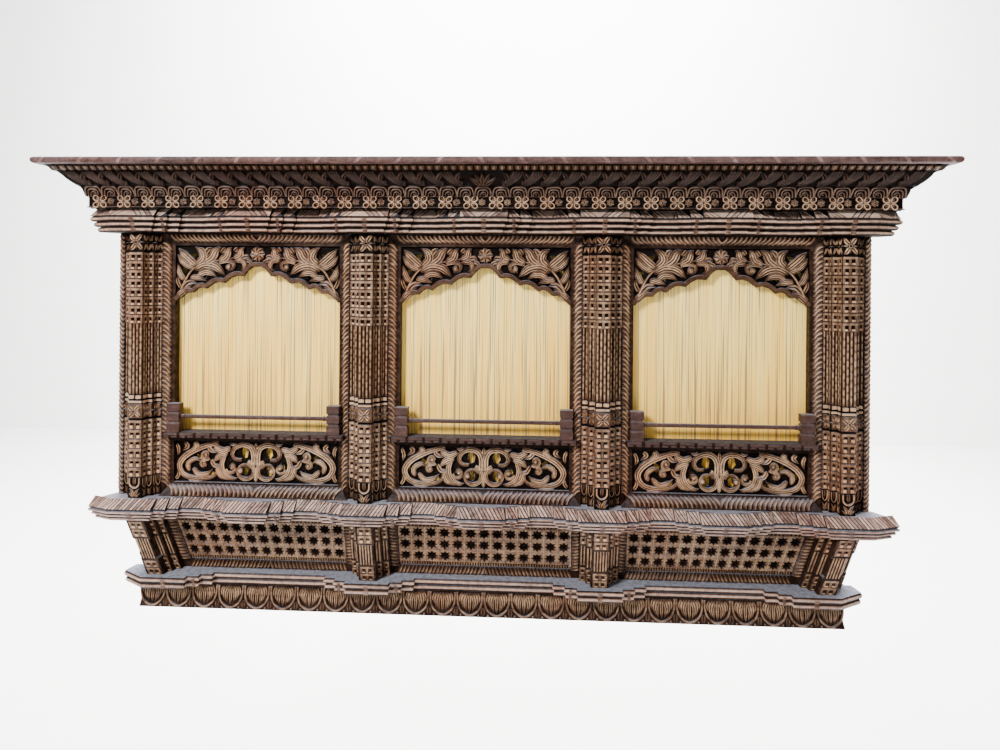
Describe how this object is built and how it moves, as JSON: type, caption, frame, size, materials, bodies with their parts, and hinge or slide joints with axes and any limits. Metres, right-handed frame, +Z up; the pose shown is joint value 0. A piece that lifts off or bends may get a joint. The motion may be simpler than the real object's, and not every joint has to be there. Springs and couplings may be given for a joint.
{
  "type": "carved wooden window",
  "caption": "Wide carved timber window with a stepped cornice, pillars, cusped arches, rails, pierced scroll panels, keyed ledges and a leaning bracketed apron.",
  "frame": {"origin": "middle of the upper sill's back, on the flat back that meets the wall", "axes": "+X along the window to the right as seen from the front, +Y into the wall, +Z up; the carved front faces -Y"},
  "size_m": [2.214, 0.269, 1.173],
  "materials": {
    "carved_wood": "old carved hardwood, waxed and worn, reddish brown with dark recesses",
    "dark_wood": "the same wood, darkened under the cornice",
    "dusty_wood": "the same wood with a grey layer of dust on its ledges",
    "reed_board": "pale straw-coloured reeds laid upright, with thin brown lines"
  },
  "bodies": {
    "root": {"bracket_1": "carved_wood", "bracket_2": "carved_wood", "bracket_3": "carved_wood", "bracket_4": "carved_wood", "crown_rim": "carved_wood", "flower_band": "carved_wood", "frame_foot_1": "carved_wood", "frame_foot_2": "carved_wood", "frame_foot_3": "carved_wood", "frame_head_1": "carved_wood", "frame_head_2": "carved_wood", "frame_head_3": "carved_wood", "frame_jamb_left_1": "carved_wood", "frame_jamb_left_2": "carved_wood", "frame_jamb_left_3": "carved_wood", "frame_jamb_right_1": "carved_wood", "frame_jamb_right_2": "carved_wood", "frame_jamb_right_3": "carved_wood", "key_cove": "carved_wood", "leaf_cove": "dark_wood", "lintel_ledge": "carved_wood", "lotus_base": "carved_wood", "lower_ledge": "dusty_wood", "pillar_1": "carved_wood", "pillar_2": "carved_wood", "pillar_3": "carved_wood", "pillar_4": "carved_wood", "rail_lip_1": "carved_wood", "rail_lip_2": "carved_wood", "rail_lip_3": "carved_wood", "rail_post_left_1": "carved_wood", "rail_post_left_2": "carved_wood", "rail_post_left_3": "carved_wood", "rail_post_right_1": "carved_wood", "rail_post_right_2": "carved_wood", "rail_post_right_3": "carved_wood", "rail_rod_1": "carved_wood", "rail_rod_2": "carved_wood", "rail_rod_3": "carved_wood", "reed_screen_1": "reed_board", "reed_screen_2": "reed_board", "reed_screen_3": "reed_board", "scroll_panel_1": "carved_wood", "scroll_panel_2": "carved_wood", "scroll_panel_3": "carved_wood", "side_strip_left": "carved_wood", "side_strip_right": "carved_wood", "sill_ledge": "dusty_wood", "spandrel_1": "carved_wood", "spandrel_2": "carved_wood", "spandrel_3": "carved_wood", "star_frame_1": "carved_wood", "star_frame_2": "carved_wood", "star_frame_3": "carved_wood", "star_panel_1": "carved_wood", "star_panel_2": "carved_wood", "star_panel_3": "carved_wood", "tooth_course": "dark_wood"}
  },
  "joints": []
}
